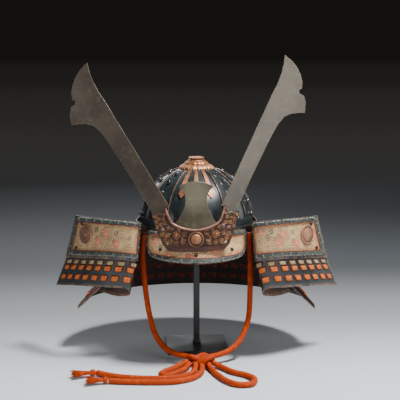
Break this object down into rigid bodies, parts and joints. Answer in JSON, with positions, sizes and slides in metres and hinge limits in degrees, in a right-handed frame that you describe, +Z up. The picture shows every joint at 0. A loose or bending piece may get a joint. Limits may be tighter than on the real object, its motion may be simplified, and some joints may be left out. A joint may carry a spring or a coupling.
{
  "type": "kabuto samurai helmet on a display stand",
  "caption": "Ridged iron helmet with a flared laced neck guard, turned-back wings, tall flat horns, a visor and a chin cord, held on a plain post stand.",
  "frame": {"origin": "on the floor under the middle of the stand's base plate", "axes": "+Z up, the helmet faces -Y, +X to the right as seen from in front"},
  "size_m": [0.538, 0.4571, 0.557],
  "materials": {
    "stand": "matt black paint",
    "bowl": "worn blue-black lacquer",
    "lame": "worn black lacquer",
    "gilt": "worn gilt copper",
    "copper": "dark patinated copper",
    "horn": "dull brown-grey patina",
    "pewter": "dull tarnished gilt",
    "leather": "printed tan leather",
    "border": "dark leather with white stitches",
    "cord": "braided orange-red silk"
  },
  "bodies": {
    "root": {"stand_base": "stand", "stand_post": "stand", "stand_head": "stand", "bowl": "bowl", "waist_band": "lame", "crown_ring": "gilt", "crown_tiers": "gilt", "strip_left": "gilt", "strip_middle": "gilt", "strip_right": "gilt", "visor_plate": "lame", "visor_leather": "leather", "visor_border": "border", "visor_rivet_left": "copper", "visor_rivet_middle": "copper", "visor_rivet_right": "copper", "kuwagata_dai": "copper", "dai_boss": "copper", "dai_rosette_left": "copper", "dai_rosette_right": "copper", "dai_blossom_inner_left": "gilt", "dai_blossom_outer_left": "gilt", "dai_blossom_inner_right": "gilt", "dai_blossom_outer_right": "gilt", "horn_left": "horn", "horn_right": "horn", "haraidate": "pewter", "lame_1": "lame", "lame_2": "lame", "lame_3": "lame", "wing_leather_left": "leather", "wing_border_left": "border", "wing_boss_left": "copper", "wing_rivet_upper_left": "copper", "wing_rivet_lower_left": "copper", "wing_leather_right": "leather", "wing_border_right": "border", "wing_boss_right": "copper", "wing_rivet_upper_right": "copper", "wing_rivet_lower_right": "copper", "cord_ring_left": "copper", "cord_ring_right": "copper", "chin_cord_left": "cord", "chin_cord_right": "cord", "cord_loop_left": "cord", "cord_loop_right": "cord", "cord_tail_back": "cord", "cord_tail_front": "cord", "cord_knot": "cord", "tassel_back": "cord", "tassel_front": "cord"}
  },
  "joints": []
}
